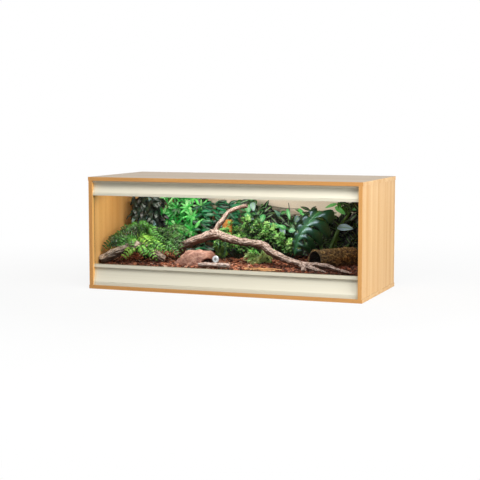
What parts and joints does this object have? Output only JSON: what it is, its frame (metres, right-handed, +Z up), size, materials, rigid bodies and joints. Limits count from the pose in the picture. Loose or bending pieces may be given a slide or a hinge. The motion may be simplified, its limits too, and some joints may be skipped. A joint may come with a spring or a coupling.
{
  "type": "vivarium",
  "caption": "Low wooden vivarium with sliding glass front doors in plastic fascias, a lock, hinged back vents, and bark, hides, a branch and artificial plants inside.",
  "frame": {"origin": "middle of the underside of the case", "axes": "+X to the right seen from the front, +Y to the back, +Z up"},
  "size_m": [1.15, 0.51, 0.456],
  "materials": {
    "wood_laminate": "satin veneer print with a fine straight grain",
    "wood_edging": "satin edging strip with the same grain",
    "back_panel": "smooth pale hardboard",
    "cream_plastic": "smooth satin extrusion",
    "runner_plastic": "smooth satin extrusion",
    "door_glass": "polished with ground edges",
    "lock_chrome": "bright plated",
    "plug_steel": "fine turned",
    "lock_washer_rubber": "matt",
    "zinc_steel": "zinc plated",
    "dowel_beech": "fluted and unfinished",
    "cover_plastic": "smooth satin cap",
    "vent_plastic": "fine moulded texture",
    "bark_chips": "loose rough chips",
    "pale_branch": "weathered and sandblasted",
    "bark_log": "rough bark",
    "yellow_bark": "split bark",
    "resin_rock": "rough cast resin",
    "cork_bark": "deeply furrowed cork",
    "dark_leaf": "moulded leaves with a waxy sheen",
    "fern_leaf": "moulded fronds",
    "bright_leaf": "moulded leaves with a waxy sheen",
    "teal_leaf": "moulded leaves with a waxy sheen",
    "ivy_leaf": "moulded leaves",
    "shrub_leaf": "small moulded leaves",
    "trailing_leaf": "variegated moulded leaves",
    "creeping_leaf": "small moulded leaves",
    "moss_leaf": "small moulded leaves",
    "split_leaf": "large moulded leaf with a waxy sheen",
    "broad_leaf": "moulded leaves with a waxy sheen"
  },
  "bodies": {
    "vivarium_case": {"bottom_board": "wood_laminate", "top_board": "wood_laminate", "left_side_board": "wood_laminate", "right_side_board": "wood_laminate", "bottom_edge_band": "wood_edging", "top_edge_band": "wood_edging", "left_edge_band": "wood_edging", "right_edge_band": "wood_edging", "left_back_panel": "back_panel", "right_back_panel": "back_panel", "back_joint_strip": "cream_plastic", "bottom_fascia": "cream_plastic", "top_fascia": "cream_plastic", "bottom_left_end_cap": "cream_plastic", "bottom_right_end_cap": "cream_plastic", "top_left_end_cap": "cream_plastic", "top_right_end_cap": "cream_plastic", "bottom_glass_runner": "runner_plastic", "top_glass_runner": "runner_plastic", "left_vent_frame": "vent_plastic", "right_vent_frame": "vent_plastic", "cam_locks": "zinc_steel", "cam_covers": "cover_plastic", "cam_bolts": "zinc_steel", "wooden_dowels": "dowel_beech", "fascia_screws": "zinc_steel", "substrate": "bark_chips", "main_branch": "pale_branch", "left_log": "bark_log", "front_log": "pale_branch", "bark_slab": "yellow_bark", "rock_hide": "resin_rock", "cork_hide": "cork_bark", "cork_tile": "cork_bark", "dark_leaf_plant": "dark_leaf", "fern": "fern_leaf", "bamboo_plant": "bright_leaf", "teal_leaf_plant": "teal_leaf", "ivy_plant": "ivy_leaf", "box_shrub": "shrub_leaf", "trailing_plant": "trailing_leaf", "creeping_plant": "creeping_leaf", "moss_plant": "moss_leaf", "broad_leaf_plant": "broad_leaf", "split_leaf_plant": "split_leaf"},
    "left_door": {"left_glass_door": "door_glass", "lock_barrel": "lock_chrome", "lock_washer": "lock_washer_rubber", "lock_nut": "zinc_steel"},
    "lock_key_plug": {"lock_plug": "plug_steel"},
    "right_door": {"right_glass_door": "door_glass"},
    "left_flap": {"left_vent_flap": "vent_plastic"},
    "right_flap": {"right_vent_flap": "vent_plastic"}
  },
  "joints": [
    {"name": "left_door_slide", "type": "slide", "parent": "vivarium_case", "child": "left_door", "axis": [1, 0, 0], "range_m": [0, 0.541]},
    {"name": "right_door_slide", "type": "slide", "parent": "vivarium_case", "child": "right_door", "axis": [1, 0, 0], "range_m": [-0.541, 0]},
    {"name": "lock_turn", "type": "hinge", "parent": "left_door", "child": "lock_key_plug", "pos_m": [-0.022, -0.24, 0.1423], "axis": [0, 1, 0], "range_deg": [0, 90]},
    {"name": "left_flap_hinge", "type": "hinge", "parent": "vivarium_case", "child": "left_flap", "pos_m": [-0.3348, 0.2418, 0.35976], "axis": [1, 0, 0], "range_deg": [0, 80]},
    {"name": "right_flap_hinge", "type": "hinge", "parent": "vivarium_case", "child": "right_flap", "pos_m": [0.3348, 0.2418, 0.21918], "axis": [1, 0, 0], "range_deg": [0, 80]}
  ]
}
